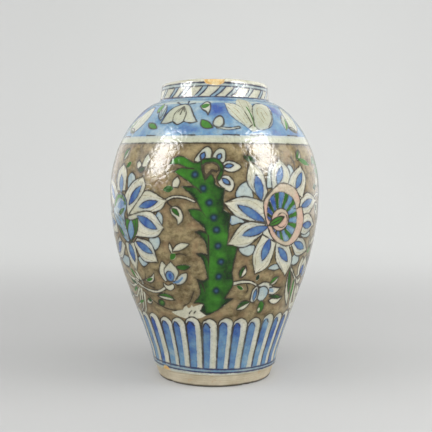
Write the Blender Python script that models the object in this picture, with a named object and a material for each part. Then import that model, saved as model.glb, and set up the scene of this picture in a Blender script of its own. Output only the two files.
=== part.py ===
"""Glazed ceramic vase, put together the way a potter puts it together.

Two thrown bowls are joined rim to rim, a collar is set on top and a turned ring
underneath, each bedded on luting slip in a keyed joint, and the pot is glazed in
and out. Sizes are in millimetres, the model is in metres with +Z up, and the origin
is the centre of the resting face under the foot.
"""

import math

import bmesh
import bpy

MM = 0.001

# Overall form
HEIGHT = 300.0
BELLY_DIAMETER = 214.5
BELLY_HEIGHT = 190.0
NECK_DIAMETER = 111.0
NECK_HEIGHT = 19.0
LIP_DIAMETER = 109.0
FOOT_HEIGHT = 13.5
FOOT_TOP_DIAMETER = 127.4
FOOT_DIAMETER = 117.0

# Swell of the thrown walls: shares of each curve's rise, and slopes at its ends
SHOULDER_FULLNESS = 0.65
SHOULDER_REACH = 0.22
BASE_FULLNESS = 0.44
BASE_REACH = 0.245
BASE_SLOPE = math.radians(9.5)
NECK_FILLET = 3.0

# Walls and coats
WALL = 7.0
NECK_WALL = 5.4
FLOOR = 9.0
FLOOR_CORNER = 24.0
FOOT_RING_WALL = 17.0
FOOT_RING_DRAFT = 1.5
FOOT_EDGE = 1.6
GLAZE = 0.8

# Keyed joints, filled with luting slip
CLEARANCE = 0.3
LUTE = 1.0
KEY_WIDTH = 4.0
KEY_DEPTH = 1.2

# Resolution of the turned surfaces
SEGMENTS = 40
BASE_SPANS = 6
SHOULDER_SPANS = 6
CORNER_SPANS = 3
LIP_SPANS = 4

SMOOTH_ANGLE = math.radians(35.0)
AXIS_MERGE = 1e-6

# Heights and depths that follow from the sizes above
NECK_BASE = HEIGHT - NECK_HEIGHT
SKIN = GLAZE + CLEARANCE
JOINT_GAP = LUTE / 2 + CLEARANCE
CLAY_INSIDE = SKIN + WALL
LINING_BACK = CLAY_INSIDE + CLEARANCE
LINING_FACE = LINING_BACK + GLAZE
LIP_RADIUS = NECK_WALL / 2 + SKIN
LIP_CENTRE = (LIP_DIAMETER / 2 - LIP_RADIUS, HEIGHT - LIP_RADIUS)
NECK_JOINT = NECK_BASE - SKIN + JOINT_GAP
FLOOR_TOP = FOOT_HEIGHT + JOINT_GAP + FLOOR


def curve(start, start_handle, end_handle, end, spans):
    """Points and outward normals along a cubic curve that runs down the outside of the pot."""
    stations = []
    for step in range(spans + 1):
        t = step / spans
        s = 1.0 - t
        point = []
        slope = []
        for a, b, c, d in zip(start, start_handle, end_handle, end):
            point.append(s**3 * a + 3 * s * s * t * b + 3 * s * t * t * c + t**3 * d)
            slope.append(s * s * (b - a) + 2 * s * t * (c - b) + t * t * (d - c))
        length = math.hypot(*slope)
        normal = (-slope[1] / length, slope[0] / length)
        stations.append((tuple(point), normal))
    return stations


def arc(centre, radius, start_angle, end_angle, spans, hollow=False):
    """Points and normals along a circular arc; a hollow arc's normals face its centre."""
    side = -1.0 if hollow else 1.0
    stations = []
    for step in range(spans + 1):
        angle = start_angle + (end_angle - start_angle) * step / spans
        direction = (math.cos(angle), math.sin(angle))
        point = (centre[0] + radius * direction[0], centre[1] + radius * direction[1])
        stations.append((point, (side * direction[0], side * direction[1])))
    return stations


def layer(stations, depth):
    """The outline that lies a given depth under the pot's surface."""
    return [(p[0] - depth * n[0], p[1] - depth * n[1]) for p, n in stations]


def rounded_corner(start, corner, end, spans):
    """A soft bend between two points, tangent to both sides of the corner."""
    points = []
    for step in range(spans + 1):
        t = step / spans
        s = 1.0 - t
        points.append(tuple(s * s * a + 2 * s * t * b + t * t * c for a, b, c in zip(start, corner, end)))
    return points


# Outer surface of the pot, from the lip down to the foot
def lip_stations():
    return arc(LIP_CENTRE, LIP_RADIUS, math.pi, 0.0, LIP_SPANS)


def neck_stations():
    """The hollow bend where the collar springs from the shoulder."""
    centre = (NECK_DIAMETER / 2 + NECK_FILLET, NECK_BASE + NECK_FILLET)
    return arc(centre, NECK_FILLET, math.pi, 1.5 * math.pi, CORNER_SPANS, hollow=True)


def shoulder_stations():
    start = (NECK_DIAMETER / 2 + NECK_FILLET, NECK_BASE)
    end = (BELLY_DIAMETER / 2, BELLY_HEIGHT)
    rise = start[1] - end[1]
    reach = (start[0] + SHOULDER_REACH * (end[0] - start[0]), start[1])
    return curve(start, reach, (end[0], end[1] + SHOULDER_FULLNESS * rise), end, SHOULDER_SPANS)


def base_stations():
    start = (BELLY_DIAMETER / 2, BELLY_HEIGHT)
    end = (FOOT_TOP_DIAMETER / 2, FOOT_HEIGHT)
    rise = start[1] - end[1]
    reach = (end[0] + BASE_REACH * rise * math.tan(BASE_SLOPE), end[1] + BASE_REACH * rise)
    return curve(start, (start[0], start[1] - BASE_FULLNESS * rise), reach, end, BASE_SPANS)


def keyed_face(outer, inner, height):
    """A joint face with a V key, from its outer edge to its inner edge."""
    middle = (outer + inner) / 2
    return [
        (outer, height),
        (middle + KEY_WIDTH / 2, height),
        (middle, height - KEY_DEPTH),
        (middle - KEY_WIDTH / 2, height),
        (inner, height),
    ]


# Radii of the walls at the three joints
def belly_joint_radii():
    outside = BELLY_DIAMETER / 2
    return outside - SKIN, outside - CLAY_INSIDE


def neck_joint_radii():
    outside = NECK_DIAMETER / 2
    return outside, LIP_DIAMETER / 2 - SKIN - NECK_WALL


def foot_joint_radii():
    outside = FOOT_TOP_DIAMETER / 2 - SKIN
    return outside, outside - FOOT_RING_WALL


def material(name, colour, roughness, coat=0.0):
    made = bpy.data.materials.new(name)
    made.use_nodes = True
    shader = made.node_tree.nodes["Principled BSDF"]
    shader.inputs["Base Color"].default_value = (*colour, 1.0)
    shader.inputs["Roughness"].default_value = roughness
    shader.inputs["Metallic"].default_value = 0.0
    shader.inputs["Coat Weight"].default_value = coat
    made.diffuse_color = (*colour, 1.0)
    return made


def turned(name, outline, finish, parent):
    """Spin an outline about Z into a solid; one that starts on the axis stays open there."""
    shape = bmesh.new()
    points = [shape.verts.new((r * MM, 0.0, z * MM)) for r, z in outline]
    edges = [shape.edges.new(pair) for pair in zip(points, points[1:])]
    if outline[0][0] > 0.0:
        edges.append(shape.edges.new((points[-1], points[0])))
    bmesh.ops.spin(
        shape,
        geom=points + edges,
        axis=(0.0, 0.0, 1.0),
        cent=(0.0, 0.0, 0.0),
        angle=2 * math.pi,
        steps=SEGMENTS,
        use_merge=True,
    )
    bmesh.ops.remove_doubles(shape, verts=shape.verts, dist=AXIS_MERGE)
    bmesh.ops.recalc_face_normals(shape, faces=shape.faces)
    mesh = bpy.data.meshes.new(name)
    shape.to_mesh(mesh)
    shape.free()
    mesh.shade_smooth()
    mesh.set_sharp_from_angle(angle=SMOOTH_ANGLE)
    mesh.materials.append(finish)
    piece = bpy.data.objects.new(name, mesh)
    piece.parent = parent
    bpy.context.collection.objects.link(piece)


def inside_curve(depth, floor_height):
    """The hollow's wall at a depth, from the middle of the floor up to the belly joint."""
    wall = [p for p in layer(base_stations(), depth) if p[1] > floor_height + FLOOR_CORNER / 2]
    above, last = wall[-2:]
    run = (last[0] - above[0]) / (last[1] - above[1])
    corner = (last[0] + run * (floor_height - last[1]), floor_height)
    bend = rounded_corner((corner[0] - FLOOR_CORNER, floor_height), corner, last, CORNER_SPANS)
    return [(0.0, floor_height)] + bend + wall[-2::-1]


def throat_curve(depth, neck_radius, top):
    """The hollow's wall above the belly joint: shoulder, throat and neck, going up."""
    shoulder = layer(shoulder_stations(), depth)[::-1]
    end = shoulder[-1]
    below_bend = [p for p in shoulder if p[0] > end[0]]
    return below_bend + rounded_corner(end, (neck_radius, end[1]), (neck_radius, top), CORNER_SPANS)


def foot_ring_outline():
    outer, inner = foot_joint_radii()
    top = keyed_face(outer, inner, FOOT_HEIGHT - JOINT_GAP)
    heel = (FOOT_DIAMETER / 2, FOOT_EDGE)
    toe = (inner + FOOT_RING_DRAFT, FOOT_EDGE)
    sole = [(heel[0] - FOOT_EDGE, 0.0), (toe[0] + FOOT_EDGE, 0.0)]
    return top[::-1] + [heel] + sole + [toe]


def lower_bowl_outline():
    inside = inside_curve(CLAY_INSIDE, FLOOR_TOP)
    rim = keyed_face(*belly_joint_radii(), BELLY_HEIGHT - JOINT_GAP)
    outside = layer(base_stations(), SKIN)[1:-1]
    underside = keyed_face(*foot_joint_radii(), FOOT_HEIGHT + JOINT_GAP)
    return inside[:-1] + rim[::-1] + outside + underside + [(0.0, FOOT_HEIGHT + JOINT_GAP)]


def upper_bowl_outline():
    outside = layer(shoulder_stations(), SKIN)
    seat = keyed_face(*belly_joint_radii(), BELLY_HEIGHT + JOINT_GAP)
    inner_neck = neck_joint_radii()[1]
    inside = throat_curve(CLAY_INSIDE, inner_neck, NECK_JOINT - JOINT_GAP)
    rim = keyed_face(*neck_joint_radii(), NECK_JOINT - JOINT_GAP)
    return outside[:-1] + seat + inside[1:-1] + rim[::-1][:-1]


def neck_collar_outline():
    lip = layer(lip_stations(), SKIN)
    flare = [p for p in layer(neck_stations(), SKIN) if p[1] > NECK_JOINT + JOINT_GAP]
    seat = keyed_face(*neck_joint_radii(), NECK_JOINT + JOINT_GAP)
    return lip + flare + seat


def outer_glaze_outline():
    stations = lip_stations() + neck_stations() + shoulder_stations()[1:] + base_stations()[1:]
    return layer(stations, 0.0) + layer(stations, GLAZE)[::-1]


def inner_glaze_outline():
    lip_inside = LIP_CENTRE[0] - LIP_RADIUS
    edge = LIP_CENTRE[1] - CLEARANCE
    throat = NECK_JOINT - JOINT_GAP
    face = inside_curve(LINING_FACE, FLOOR_TOP + SKIN)
    face += throat_curve(LINING_FACE, lip_inside, throat)[1:] + [(lip_inside, edge)]
    back = inside_curve(LINING_BACK, FLOOR_TOP + CLEARANCE)
    back += throat_curve(LINING_BACK, lip_inside + GLAZE, throat)[1:] + [(lip_inside + GLAZE, edge)]
    return face + back[::-1]


def lute_outline(radii, height):
    """A ring of luting slip that fills a keyed joint."""
    top = keyed_face(*radii, height + LUTE / 2)
    bottom = keyed_face(*radii, height - LUTE / 2)
    return top[::-1] + bottom


def build():
    for leftover in list(bpy.data.objects):
        bpy.data.objects.remove(leftover, do_unlink=True)

    clay = (0.56, 0.40, 0.27)
    bare_clay = material("bare_foot_clay", (0.61, 0.46, 0.31), 0.85)
    lower_clay = material("lower_bowl_clay", clay, 0.8)
    upper_clay = material("upper_bowl_clay", clay, 0.8)
    neck_clay = material("neck_clay", clay, 0.8)
    slip = material("luting_slip", (0.66, 0.58, 0.46), 0.85)
    painted_glaze = material("painted_glaze", (0.67, 0.64, 0.51), 0.12, coat=0.6)
    lining_glaze = material("lining_glaze", (0.69, 0.67, 0.57), 0.15, coat=0.5)

    vase = bpy.data.objects.new("vase", None)
    bpy.context.collection.objects.link(vase)

    turned("foot_ring", foot_ring_outline(), bare_clay, vase)
    turned("lower_bowl", lower_bowl_outline(), lower_clay, vase)
    turned("upper_bowl", upper_bowl_outline(), upper_clay, vase)
    turned("neck_collar", neck_collar_outline(), neck_clay, vase)
    turned("foot_lute", lute_outline(foot_joint_radii(), FOOT_HEIGHT), slip, vase)
    turned("belly_lute", lute_outline(belly_joint_radii(), BELLY_HEIGHT), slip, vase)
    turned("neck_lute", lute_outline(neck_joint_radii(), NECK_JOINT), slip, vase)
    turned("outer_glaze", outer_glaze_outline(), painted_glaze, vase)
    turned("inner_glaze", inner_glaze_outline(), lining_glaze, vase)


build()
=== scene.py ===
"""Looks of the glazed ceramic vase: painting under glaze, bare foot, lining, light and camera.

The pot's surface is unrolled into a grid. Each paint is kept on that grid as the distance,
in millimetres, to the edge of the painted area (negative inside), and the glaze material
turns those distances into brushed colour. Painting sizes are in millimetres: x runs round
the pot from its front, s runs up its profile from the edge of the glaze.
"""
import math

import bpy
import numpy as np
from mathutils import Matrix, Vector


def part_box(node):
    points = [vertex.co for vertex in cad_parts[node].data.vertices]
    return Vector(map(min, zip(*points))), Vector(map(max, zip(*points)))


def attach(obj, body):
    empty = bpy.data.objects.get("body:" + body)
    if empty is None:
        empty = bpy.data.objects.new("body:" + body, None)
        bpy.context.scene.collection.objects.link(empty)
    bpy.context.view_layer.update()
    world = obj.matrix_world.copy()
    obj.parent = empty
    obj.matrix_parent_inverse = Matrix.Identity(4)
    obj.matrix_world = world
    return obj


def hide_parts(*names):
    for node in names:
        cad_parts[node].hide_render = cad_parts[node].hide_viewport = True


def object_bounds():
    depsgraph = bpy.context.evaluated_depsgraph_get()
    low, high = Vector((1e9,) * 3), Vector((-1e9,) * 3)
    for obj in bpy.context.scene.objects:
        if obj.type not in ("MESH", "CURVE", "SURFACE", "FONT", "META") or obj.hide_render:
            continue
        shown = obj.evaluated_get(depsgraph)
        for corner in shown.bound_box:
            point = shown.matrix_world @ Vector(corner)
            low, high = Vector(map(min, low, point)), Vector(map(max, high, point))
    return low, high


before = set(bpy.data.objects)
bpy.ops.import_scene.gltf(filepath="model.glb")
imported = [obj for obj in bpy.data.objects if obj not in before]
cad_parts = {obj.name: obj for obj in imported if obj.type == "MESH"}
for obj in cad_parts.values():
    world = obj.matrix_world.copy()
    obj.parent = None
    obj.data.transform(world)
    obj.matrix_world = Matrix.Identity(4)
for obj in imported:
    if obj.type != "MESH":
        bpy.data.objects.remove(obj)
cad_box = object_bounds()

MM = 0.001
TURN = 2 * math.pi

# Form of the pot in millimetres: overall sizes from the frame, the rest as the solids have them, but
# with a rounder bend under the neck (NECK_COVE) and a lip that rises at the front (LIP_RISE)
GLAZE = 0.8
HEIGHT = (cad_box[1].z - cad_box[0].z) / MM
BELLY_RADIUS = (cad_box[1].x - cad_box[0].x) / 2 / MM
BELLY_HEIGHT = 190.0
NECK_LENGTH = 19.0
NECK_BASE = HEIGHT - NECK_LENGTH
NECK_RADIUS = 55.5
NECK_FILLET = 3.0
NECK_COVE = 6.5
LIP_OUTSIDE = 54.5
LIP_ROUND = 3.8
LIP_RISE = 1.5
FOOT_TOP_RADIUS = 63.7
FOOT_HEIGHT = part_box("outer_glaze")[0].z / MM
FOOT_RADIUS = 58.5
FOOT_EDGE = 2.4
FOOT_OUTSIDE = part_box("foot_ring")[1].x / MM
FOOT_WIDTH = 17.0
FOOT_INSIDE = FOOT_OUTSIDE - FOOT_WIDTH
SHOULDER_FULLNESS = 0.65
SHOULDER_REACH = 0.22
BASE_FULLNESS = 0.44
BASE_REACH = 0.245
BASE_SLOPE = math.radians(9.5)
WALL_THROUGH = 9.2
FLOOR_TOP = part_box("inner_glaze")[0].z / MM + GLAZE
FLOOR_CORNER = 24.0

# Fineness of the surfaces and of the painted outlines
COLUMNS = 960
ROW_STEP = 0.7
FOOT_SEGMENTS = 360
LINING_SEGMENTS = 192
PATH_STEPS = 6
LENS_STEPS = 14
OVAL_STEPS = 24

# Heights up the profile: painted zones, and seams between the glazed pieces
TONGUE_TOP = 62.5
BELLY_TOP = 232.4
SHOULDER_BOTTOM = 240.5
NECK_LINE = 295.3
TONGUE_SEAM = 66.0
BELLY_SEAM = 233.5
SHOULDER_SEAM = 293.0

# Radii at which the zones are unrolled, and how many strokes go round
NECK_CHART = 55.0
SHOULDER_CHART = 82.0
BELLY_CHART = BELLY_RADIUS
TONGUE_CHART = 74.0
TONGUES = 33
NECK_STROKES = 21

# Widths of brush lines, the distance that stands for no paint, and the reach of motifs and shading
HAIR = 0.5
THIN = 0.9
LINE = 1.25
BOLD = 1.6
FAR = 50.0
MARGIN = 5.0
SHADE_REACH = 2.2


# Profile of the pot
def cubic_curve(a, b, c, d, count):
    t = np.linspace(0.0, 1.0, count)[:, None]
    a, b, c, d = (np.array(p) for p in (a, b, c, d))
    return (1 - t) ** 3 * a + 3 * t * (1 - t) ** 2 * b + 3 * t * t * (1 - t) * c + t**3 * d


def arc(centre, radius, start, end, count):
    angle = np.linspace(start, end, count)
    return np.stack([centre[0] + radius * np.cos(angle), centre[1] + radius * np.sin(angle)], axis=1)


def base_curve(count=300):
    """Outside of the pot from the foot up to its widest girth."""
    rise = BELLY_HEIGHT - FOOT_HEIGHT
    foot = (FOOT_TOP_RADIUS, FOOT_HEIGHT)
    reach = (foot[0] + BASE_REACH * rise * math.tan(BASE_SLOPE), foot[1] + BASE_REACH * rise)
    belly = (BELLY_RADIUS, BELLY_HEIGHT)
    return cubic_curve(foot, reach, (belly[0], belly[1] - BASE_FULLNESS * rise), belly, count)


def shoulder_curve(count=300):
    """Outside of the pot from its widest girth up to the neck."""
    rise = NECK_BASE - BELLY_HEIGHT
    belly = (BELLY_RADIUS, BELLY_HEIGHT)
    top = (NECK_RADIUS + NECK_FILLET, NECK_BASE)
    reach = (top[0] + SHOULDER_REACH * (belly[0] - top[0]), top[1])
    return cubic_curve(belly, (belly[0], belly[1] + SHOULDER_FULLNESS * rise), reach, top, count)


def outer_profile():
    """Radius and height up the outside of the pot, from the glaze edge over the lip."""
    shoulder = shoulder_curve()
    slope = shoulder[shoulder[:, 0] > NECK_RADIUS + NECK_COVE]
    cove = cubic_curve(slope[-1], (NECK_RADIUS + 0.4 * NECK_COVE, NECK_BASE),
                       (NECK_RADIUS, NECK_BASE + 0.2 * NECK_COVE), (NECK_RADIUS, NECK_BASE + NECK_COVE), 20)
    lip = arc((LIP_OUTSIDE - LIP_ROUND, HEIGHT - LIP_ROUND), LIP_ROUND, 0.0, math.pi, 60)
    return np.concatenate([base_curve(), slope[1:], cove[1:], lip])


PROFILE = outer_profile()
PROFILE_S = np.concatenate([[0.0], np.cumsum(np.hypot(*np.diff(PROFILE, axis=0).T))])
ROW_S = np.linspace(0.0, PROFILE_S[-1], round(PROFILE_S[-1] / ROW_STEP) + 1)
ROW_RADIUS = np.interp(ROW_S, PROFILE_S, PROFILE[:, 0])
ROW_HEIGHT = np.interp(ROW_S, PROFILE_S, PROFILE[:, 1])
THETA = np.arange(COLUMNS) / COLUMNS * TURN

# Painting grid
PAINTS = ("brown", "blue", "green", "teal", "pink", "ink", "bare")
OVERLAYS = ("ink", "teal")
TONE_EDGE = 0.3
paint_grid = {name: np.full((len(ROW_S), COLUMNS), FAR) for name in PAINTS}
paint_grid["tone"] = np.full((len(ROW_S), COLUMNS), 0.5)


# Outlines
def smooth_path(points, closed=False):
    """A smooth curve through a few points."""
    p = np.array(points, float)
    if closed:
        p = np.concatenate([p[-1:], p, p[:2]])
    else:
        p = np.concatenate([2 * p[:1] - p[1:2], p, 2 * p[-1:] - p[-2:-1]])
    t = np.linspace(0.0, 1.0, PATH_STEPS, endpoint=False)[:, None]
    pieces = []
    for a, b, c, d in zip(p, p[1:], p[2:], p[3:]):
        linear, square, cube = c - a, 2 * a - 5 * b + 4 * c - d, 3 * b - a - 3 * c + d
        pieces.append(b + 0.5 * (linear * t + square * t**2 + cube * t**3))
    if not closed:
        pieces.append(p[-2:-1])
    return np.concatenate(pieces)


def cornered_outline(runs):
    """A closed outline of smooth runs; each run starts at a corner and ends at the next one's."""
    pieces = []
    for run, following in zip(runs, runs[1:] + runs[:1]):
        pieces.append(smooth_path([*run, following[0]])[:-1])
    return np.concatenate(pieces)


def blade_outline(base_left, side_left, tip, side_right, base_right):
    """A petal with a wide base and a pointed tip."""
    return cornered_outline([[base_left, side_left], [tip, side_right], [base_right]])


def lens_outline(base, tip, width, bend):
    """A leaf shape pointed at both ends; bend bows it to its left."""
    base = np.array(base, float)
    along = np.array(tip, float) - base
    across = np.array([-along[1], along[0]]) / np.hypot(*along)
    t = np.linspace(0.0, 1.0, LENS_STEPS)[:, None]
    spine = base + along * t + across * bend * 4 * t * (1 - t)
    half = width / 2 * np.sin(math.pi * t) ** 0.8
    return np.concatenate([spine + across * half, (spine - across * half)[-2:0:-1]])


def oval_outline(centre, half_width, half_height):
    circle = arc((0.0, 0.0), 1.0, 0.0, TURN, OVAL_STEPS + 1)[:-1]
    return circle * (half_width, half_height) + np.array(centre, float)


def segment_share(x, s, start, end):
    """How far along a segment, 0 to 1, each point's nearest place lies."""
    run = np.array(end) - np.array(start)
    share = ((x - start[0]) * run[0] + (s - start[1]) * run[1]) / max(run @ run, 1e-12)
    return np.clip(share, 0.0, 1.0)


def outline_distance(x, s, outline):
    """Signed distance to a closed outline, negative inside."""
    nearest = np.full(x.shape, FAR)
    inside = np.zeros(x.shape, bool)
    for start, end in zip(outline, np.roll(outline, -1, axis=0)):
        t = segment_share(x, s, start, end)
        run = end - start
        nearest = np.minimum(nearest, np.hypot(x - start[0] - t * run[0], s - start[1] - t * run[1]))
        slope = run[0] / run[1] if run[1] else 0.0
        inside ^= ((start[1] > s) != (end[1] > s)) & (x < start[0] + slope * (s - start[1]))
    return np.where(inside, -nearest, nearest)


def stroke_distance(x, s, path, start_width, end_width):
    """Signed distance to a brush stroke that tapers from one width to another."""
    nearest = np.full(x.shape, FAR)
    halves = np.linspace(start_width, end_width, len(path)) / 2
    for start, end, wide, narrow in zip(path, path[1:], halves, halves[1:]):
        t = segment_share(x, s, start, end)
        run = end - start
        away = np.hypot(x - start[0] - t * run[0], s - start[1] - t * run[1])
        nearest = np.minimum(nearest, away - (wide + (narrow - wide) * t))
    return nearest


def lay_paint(spot, distance, colour, tone, line=0.0):
    """Paint an area; overlays leave what is there, others cut it away, and cream shows the ground."""
    if colour not in OVERLAYS:
        for name in PAINTS:
            paint_grid[name][spot] = np.maximum(paint_grid[name][spot], -distance)
        paint_grid["tone"][spot] = np.where(distance < TONE_EDGE, tone, paint_grid["tone"][spot])
    if colour != "cream":
        paint_grid[colour][spot] = np.minimum(paint_grid[colour][spot], distance)
    if line:
        paint_grid["ink"][spot] = np.minimum(paint_grid["ink"][spot], np.abs(distance) - line / 2)


class Chart:
    """An unrolled stretch of the pot, at one radius, whose painting repeats round it.

    A tone of 0 is a thin wash and 1 a deep one, and line is the width of the ink outline.
    """

    def __init__(self, radius, repeats, low=0.0, high=PROFILE_S[-1]):
        self.radius = radius
        self.repeats = repeats
        self.low = low
        self.high = high

    def window(self, outline):
        """Rows, columns and positions of the grid points near an outline."""
        low, high = outline.min(axis=0) - MARGIN, outline.max(axis=0) + MARGIN
        middle = (low[0] + high[0]) / 2
        around = self.radius * ((THETA - middle / self.radius + math.pi) % TURN - math.pi)
        columns = np.nonzero(np.abs(around) <= (high[0] - low[0]) / 2)[0]
        rows = np.nonzero((ROW_S >= max(low[1], self.low)) & (ROW_S <= min(high[1], self.high)))[0]
        x, s = np.meshgrid(middle + around[columns], ROW_S[rows])
        return rows, columns, x, s

    def copies(self, rows, columns):
        """The places of a window on the grid, once for each repeat."""
        for k in range(self.repeats):
            yield np.ix_(rows, (columns + k * COLUMNS // self.repeats) % COLUMNS)

    def put(self, rows, columns, distance, colour, tone, line):
        for spot in self.copies(rows, columns):
            lay_paint(spot, distance, colour, tone, line)

    def fill(self, outline, colour="cream", tone=0.5, line=LINE):
        rows, columns, x, s = self.window(outline)
        self.put(rows, columns, outline_distance(x, s, outline), colour, tone, line)

    def loop(self, points, colour="cream", tone=0.5, line=LINE):
        self.fill(smooth_path(points, closed=True), colour, tone, line)

    def lens(self, base, tip, width, colour="cream", bend=0.0, tone=0.5, line=LINE):
        self.fill(lens_outline(base, tip, width, bend), colour, tone, line)

    def oval(self, centre, half_width, half_height, colour="cream", tone=0.5, line=LINE):
        self.fill(oval_outline(centre, half_width, half_height), colour, tone, line)

    def stroke(self, points, colour="ink", start=LINE, end=THIN, tone=0.5, line=0.0):
        path = smooth_path(points)
        rows, columns, x, s = self.window(path)
        self.put(rows, columns, stroke_distance(x, s, path, start, end), colour, tone, line)

    def shade(self, centre, half_width, half_height, amount):
        """Deepen the wash softly round a point, or thin it if the amount is negative; on the brown a thinned
        wash is painted light, a paler sheen near the pot's sides.
        """
        reach = oval_outline(centre, SHADE_REACH * half_width, SHADE_REACH * half_height)
        rows, columns, x, s = self.window(reach)
        swell = np.exp(-(((x - centre[0]) / half_width) ** 2) - ((s - centre[1]) / half_height) ** 2)
        for spot in self.copies(rows, columns):
            paint_grid["tone"][spot] += amount * swell

    def touch(self, base, tip, width, tone=0.5, bend=0.0):
        """A green touch of the brush with no outline."""
        self.lens(base, tip, width, "green", bend, tone, 0.0)

    def leaf(self, base, tip, width, bend=0.0):
        """A small leaf with one half green and one half cream."""
        self.lens(base, tip, width, bend=bend)
        self.lens(base, tip, width * 0.5, "green", bend + width * 0.2, line=THIN)


# Motifs on the brown belly
def tall_leaf(chart):
    """The tall leaf: hooked teeth, a dotted body and a head with an open beak and a curl."""
    body = cornered_outline([
        [(-44, 212), (-41, 217), (-35, 220), (-28, 218.5), (-20, 214)],
        [(-13, 214.5), (-11, 206)], [(-8, 199), (-3, 203)], [(0, 199), (2, 193)],
        [(9.5, 190), (8.5, 180)], [(9, 170)], [(15, 167), (14, 155)], [(12.5, 138), (17, 137.5)],
        [(22.5, 136), (20.5, 125), (18.5, 112), (20, 99), (16, 91)], [(12, 84.5)],
        [(21, 84), (13, 78), (3, 71.5)], [(-9, 66)], [(-17, 71)], [(-12, 78), (-18, 79.5)],
        [(-24, 79), (-16, 89), (-16.5, 98)], [(-18.5, 104.5), (-12, 103)],
        [(-7, 105), (-9, 115), (-12, 124)], [(-17.5, 129.5), (-12, 130)],
        [(-6.5, 129), (-8, 138), (-12, 145)], [(-18, 150), (-13, 151.5)],
        [(-8, 150), (-11, 155.5), (-20, 163)], [(-24.5, 170.5), (-19, 171.5)],
        [(-12, 170), (-17, 179), (-25, 187)], [(-31, 191.5), (-25, 192)],
        [(-17, 190.5), (-27, 198)], [(-38.5, 205), (-33, 208.5)], [(-26, 208.5), (-34, 212)],
    ])
    curl = smooth_path([(-13, 213), (-8, 215.5), (0, 216), (5.5, 212.5), (7, 206.5), (4, 199)])
    rows, columns, x, s = chart.window(np.concatenate([body, curl]))
    distance = np.minimum(outline_distance(x, s, body), stroke_distance(x, s, curl, 4.6, 3.6))
    spine = np.interp(s, [66, 100, 140, 165, 190, 215], [0, 5, 5, 0, -8, -24])
    right_side = np.tanh((x - spine - 4.0) / 5.0)
    foot = np.clip((88 - s) / 10, 0.0, 1.0)
    teeth = np.clip((spine - x - 9.0) / 4.0, 0.0, 1.0) * (s < 195)
    edge = np.clip(1.0 + distance / 2.4, 0.0, 1.0)
    tone = 0.46 + 0.16 * right_side + 0.2 * foot + 0.35 * teeth + 0.35 * edge
    chart.put(rows, columns, distance, "green", tone, 0.8)
    opening = [(-9.5, 212), (-2, 213.5), (3.5, 210.5), (3.5, 206), (-2, 206), (-6, 202.5), (-9.5, 205)]
    chart.loop(opening, "brown", line=BOLD)
    for fold in [[(-26, 208.5), (-19, 208)], [(-25, 192), (-17, 190.5), (-12, 186)],
                 [(-19, 171.5), (-12, 169.5), (-8, 164)], [(-13, 151.5), (-8, 149.5), (-5, 144)],
                 [(-5.5, 147), (-5.5, 130), (-6.5, 104)], [(-12, 130), (-8, 127.5), (-5.5, 121)],
                 [(-17.5, 103), (-13, 100), (-10.5, 92)],
                 [(-13, 219), (-12, 211), (-10.5, 203), (-8.5, 196)]]:
        chart.stroke(fold)
    chart.stroke([(-8, 199.5), (-5, 203.5), (-1.5, 206.5), (2, 205)], start=3.6, end=1.8)
    for dot in [(-18, 202.5), (-10, 190), (-4.5, 177), (-0.5, 163.5), (2, 152), (3.5, 137), (6.5, 121.5),
                (4.5, 107), (2, 92.5)]:
        chart.oval(dot, 3.5, 3.4, "teal", line=0.0)
    for centre, half_width, half_height in [((4, 178), 4, 10), ((-14, 197), 3, 5), ((10, 158), 3, 8),
                                            ((14, 126), 4, 9), ((-2, 112), 3, 8), ((8, 88), 7, 5),
                                            ((-30, 215), 6, 2), ((-2, 142), 3, 6)]:
        chart.shade(centre, half_width, half_height, 0.22)


def leaf_flower(chart):
    """Four cream petals with blue eyes round the leaf's head."""
    for petal in [[(-19, 215), (-14, 224), (-7, 229), (-2.5, 225.5), (-3, 219), (-6, 215)],
                  [(-2, 218.5), (1, 224.5), (6, 227.5), (10.5, 225), (11, 219), (9, 214), (3, 214)],
                  [(7, 212), (13, 215.5), (20, 214), (25.5, 209.5), (20, 205.5), (13, 205), (8, 208)],
                  [(3, 197), (7, 201.5), (13, 201.5), (17.5, 197), (18, 191), (15, 187), (10, 188.5),
                   (5, 193)]]:
        chart.loop(petal)
    for base, tip, width in [((-13, 216), (-9.5, 223.5), 5), ((3, 216.5), (6.5, 222), 4.6),
                             ((9, 210), (18, 211), 4.2), ((7, 199), (14.5, 193.5), 4.4)]:
        chart.lens(base, tip, width, "blue", tone=0.65)


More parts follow.
